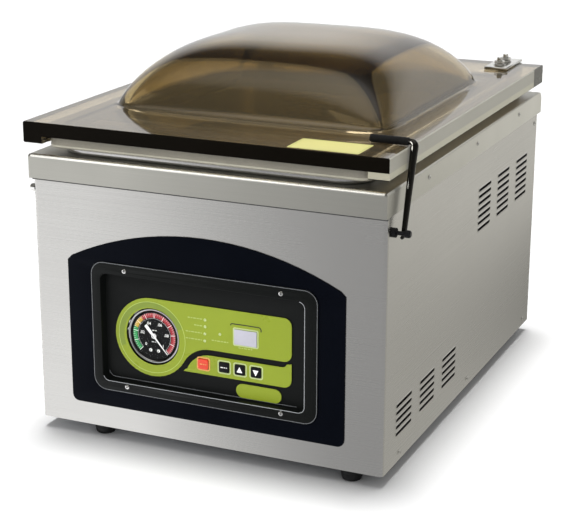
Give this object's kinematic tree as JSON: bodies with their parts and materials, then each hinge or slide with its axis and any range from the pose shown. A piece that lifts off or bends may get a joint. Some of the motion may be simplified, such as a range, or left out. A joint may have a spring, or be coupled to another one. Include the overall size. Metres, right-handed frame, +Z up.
{
  "type": "chamber vacuum sealer",
  "caption": "Table-top chamber vacuum sealer with a domed smoked lid on rear hinges, side hook latch, louvred steel casing and a recessed gauge and button panel.",
  "frame": {"origin": "middle of the footprint on the surface that the feet stand on, the footprint being that of the lid, the latch stud, the side cap nut and the hinge brackets", "axes": "+X to the machine's right as seen by its user, +Y from the control panel to the hinges, +Z up"},
  "size_m": [0.4024, 0.5228, 0.3905],
  "materials": {
    "stainless": "brushed",
    "polished_steel": "polished",
    "galvanised": "matt zinc",
    "smoked_acrylic": "polished",
    "gasket_silicone": "satin",
    "black_rubber": "matt",
    "black_plastic": "satin",
    "black_gloss": "gloss",
    "green_film": "satin",
    "red_plastic": "satin",
    "display_lens": "satin",
    "chrome": "mirror",
    "dial_black": "matt",
    "needle_white": "painted white",
    "clear_glass": "clear",
    "white_polyethylene": "matt",
    "aluminium": "satin",
    "ptfe_tape": "woven",
    "cast_housing": "painted casting",
    "motor_housing": "painted",
    "board_green": "solder mask",
    "copper_winding": "lacquered windings on a core"
  },
  "bodies": {
    "cabinet": {"casing_wrap": "stainless", "base_pan": "galvanised", "rear_cover": "galvanised", "support_frame": "galvanised", "deck": "stainless", "chamber_tub": "stainless", "vacuum_port": "polished_steel", "latch_stud": "black_plastic", "side_cap_nut": "polished_steel", "panel_plate": "black_gloss", "panel_bezel": "black_plastic", "overlay_panel": "green_film", "overlay_strip": "green_film", "overlay_badge": "green_film", "display_window": "display_lens", "gauge_case": "black_plastic", "gauge_dial": "dial_black", "gauge_ring": "chrome", "gauge_lens": "clear_glass", "vacuum_pump": "cast_housing", "pump_motor": "motor_housing", "transformer": "copper_winding", "control_board": "board_green", "release_valve": "aluminium", "suction_hose": "black_rubber", "power_inlet": "black_plastic", "power_switch": "black_plastic", "hinge_bracket_left": "polished_steel", "hinge_pin_left": "polished_steel", "hinge_bracket_right": "polished_steel", "hinge_pin_right": "polished_steel", "foot_front_left": "black_rubber", "foot_front_right": "black_rubber", "foot_rear_left": "black_rubber", "foot_rear_right": "black_rubber"},
    "lid": {"lid": "smoked_acrylic", "lid_gasket": "gasket_silicone", "backing_bar": "aluminium", "backing_silicone": "gasket_silicone", "latch_sleeve": "black_rubber", "hinge_leaf_left": "polished_steel", "hinge_screw_left_front": "polished_steel", "hinge_screw_left_rear": "polished_steel", "hinge_leaf_right": "polished_steel", "hinge_screw_right_front": "polished_steel", "hinge_screw_right_rear": "polished_steel"},
    "latch": {"latch_arm": "chrome"},
    "seal_bar": {"seal_bar": "aluminium", "seal_heat_strip": "ptfe_tape", "seal_piston_left": "polished_steel", "seal_piston_right": "polished_steel"},
    "filler_plate": {"filler_plate": "white_polyethylene"},
    "needle": {"gauge_needle": "needle_white"},
    "fan": {"motor_fan": "black_plastic"},
    "rocker": {"switch_rocker": "black_plastic"},
    "button_stop": {"button_stop": "red_plastic"},
    "button_set": {"button_set": "black_plastic"},
    "button_up": {"button_up": "black_plastic"},
    "button_down": {"button_down": "black_plastic"}
  },
  "joints": [
    {"name": "lid_hinge", "type": "hinge", "parent": "cabinet", "child": "lid", "pos_m": [-0.00535, 0.2561, 0.32], "axis": [-1, 0, 0], "range_deg": [0, 65]},
    {"name": "latch_swing", "type": "hinge", "parent": "lid", "child": "latch", "pos_m": [0.19065, -0.2074, 0.3298], "axis": [1, 0, 0], "range_deg": [-3.2, 100]},
    {"name": "seal_bar_lift", "type": "slide", "parent": "cabinet", "child": "seal_bar", "axis": [0, 0, 1], "range_m": [0, 0.0095], "stiffness_N_per_m": 900},
    {"name": "filler_plate_lift", "type": "slide", "parent": "cabinet", "child": "filler_plate", "axis": [0, 0, 1], "range_m": [0, 0.07]},
    {"name": "needle_spin", "type": "hinge", "parent": "cabinet", "child": "needle", "pos_m": [-0.06645, -0.2394, 0.1148], "axis": [0, 1, 0], "range_deg": [-270, 0]},
    {"name": "fan_spin", "type": "hinge", "parent": "cabinet", "child": "fan", "pos_m": [0.11265, 0.0326, 0.088], "axis": [1, 0, 0], "continuous": true},
    {"name": "rocker_tilt", "type": "hinge", "parent": "cabinet", "child": "rocker", "pos_m": [0.07465, 0.2454, 0.064], "axis": [0, 0, 1], "range_deg": [-16, 0]},
    {"name": "button_stop_press", "type": "slide", "parent": "cabinet", "child": "button_stop", "axis": [0, 1, 0], "range_m": [0, 0.0012], "stiffness_N_per_m": 500},
    {"name": "button_set_press", "type": "slide", "parent": "cabinet", "child": "button_set", "axis": [0, 1, 0], "range_m": [0, 0.0012], "stiffness_N_per_m": 500},
    {"name": "button_up_press", "type": "slide", "parent": "cabinet", "child": "button_up", "axis": [0, 1, 0], "range_m": [0, 0.0012], "stiffness_N_per_m": 500},
    {"name": "button_down_press", "type": "slide", "parent": "cabinet", "child": "button_down", "axis": [0, 1, 0], "range_m": [0, 0.0012], "stiffness_N_per_m": 500}
  ]
}
